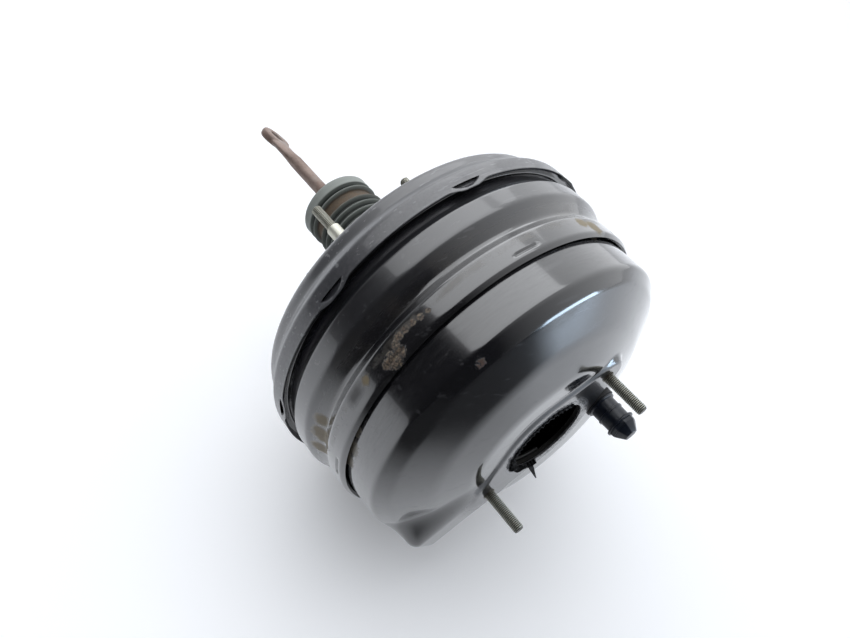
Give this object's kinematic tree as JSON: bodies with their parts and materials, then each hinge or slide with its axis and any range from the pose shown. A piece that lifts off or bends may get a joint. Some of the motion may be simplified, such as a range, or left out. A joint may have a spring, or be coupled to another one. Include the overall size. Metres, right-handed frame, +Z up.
{
  "type": "brake booster",
  "caption": "Round tandem vacuum brake booster: three crimped black shells, oval front pad with studs and bore, bellows boot, pushrod with eye, four rear studs, capped check valve.",
  "frame": {"origin": "centre of the rear mounting face, on the booster's axis", "axes": "+X along the axis towards the master cylinder's pad, +Z up with the rear studs as an upright rectangle, +Y towards the check valve"},
  "size_m": [0.4106, 0.2764, 0.2764],
  "materials": {
    "black_paint": "worn gloss black enamel over pressed steel",
    "stud_steel": "dark zinc plated steel with dust in the thread",
    "rod_steel": "forged steel with a tan bloom of rust",
    "pressed_steel": "yellow zinc plated pressing",
    "spring_steel": "drawn spring wire",
    "boot_rubber": "dusty grey-green rubber",
    "black_rubber": "soft black rubber",
    "phenolic": "moulded phenolic",
    "valve_plastic": "blue-black moulded plastic",
    "felt": "open filter felt"
  },
  "bodies": {
    "housing": {"rear_shell": "black_paint", "mid_shell": "black_paint", "front_shell": "black_paint", "rear_studs": "stud_steel", "front_studs": "stud_steel", "rear_stud_plate": "pressed_steel", "front_stud_plate": "pressed_steel", "divider_wall": "pressed_steel", "divider_seal": "black_rubber", "neck_seal": "black_rubber", "guide_ring": "phenolic", "seal_retainer": "pressed_steel", "rear_diaphragm": "black_rubber", "front_diaphragm": "black_rubber", "boot": "boot_rubber", "return_spring": "spring_steel", "valve_grommet": "black_rubber", "check_valve": "valve_plastic", "disc_spring": "spring_steel", "valve_cap": "valve_plastic"},
    "piston": {"power_piston": "phenolic", "stop_key": "pressed_steel", "rear_plate": "pressed_steel", "front_plate": "pressed_steel", "piston_sleeve": "phenolic", "plate_clamp": "pressed_steel", "reaction_disc": "black_rubber", "output_rod": "rod_steel", "adjuster_nut": "stud_steel", "rod_retainer": "pressed_steel", "poppet_valve": "black_rubber", "poppet_retainer": "pressed_steel", "silencer": "felt", "air_filter": "felt", "poppet_spring": "spring_steel", "rod_spring": "spring_steel"},
    "plunger": {"valve_plunger": "rod_steel"},
    "pushrod": {"input_pushrod": "rod_steel", "spring_collar": "pressed_steel"},
    "check_disc": {"valve_disc": "black_rubber"}
  },
  "joints": [
    {"name": "piston_slide", "type": "slide", "parent": "housing", "child": "piston", "axis": [1, 0, 0], "range_m": [0, 0.036], "stiffness_N_per_m": 2500, "springref_m": -0.03, "deforming": ["return_spring", "rear_diaphragm", "front_diaphragm", "boot"]},
    {"name": "plunger_slide", "type": "slide", "parent": "piston", "child": "plunger", "axis": [1, 0, 0], "range_m": [0, 0.0025], "stiffness_N_per_m": 3000, "springref_m": -0.005, "deforming": ["rod_spring", "poppet_spring", "boot"]},
    {"name": "pushrod_swing", "type": "hinge", "parent": "plunger", "child": "pushrod", "pos_m": [-0.012, 0, 0], "axis": [0, 0.6428, 0.766], "range_deg": [-3, 3], "stiffness_Nm_per_rad": 6, "deforming": ["boot", "rod_spring"]},
    {"name": "check_disc_lift", "type": "slide", "parent": "housing", "child": "check_disc", "axis": [1, 0, 0], "range_m": [0, 0.0015], "stiffness_N_per_m": 50, "springref_m": -0.003, "deforming": ["disc_spring"]}
  ]
}
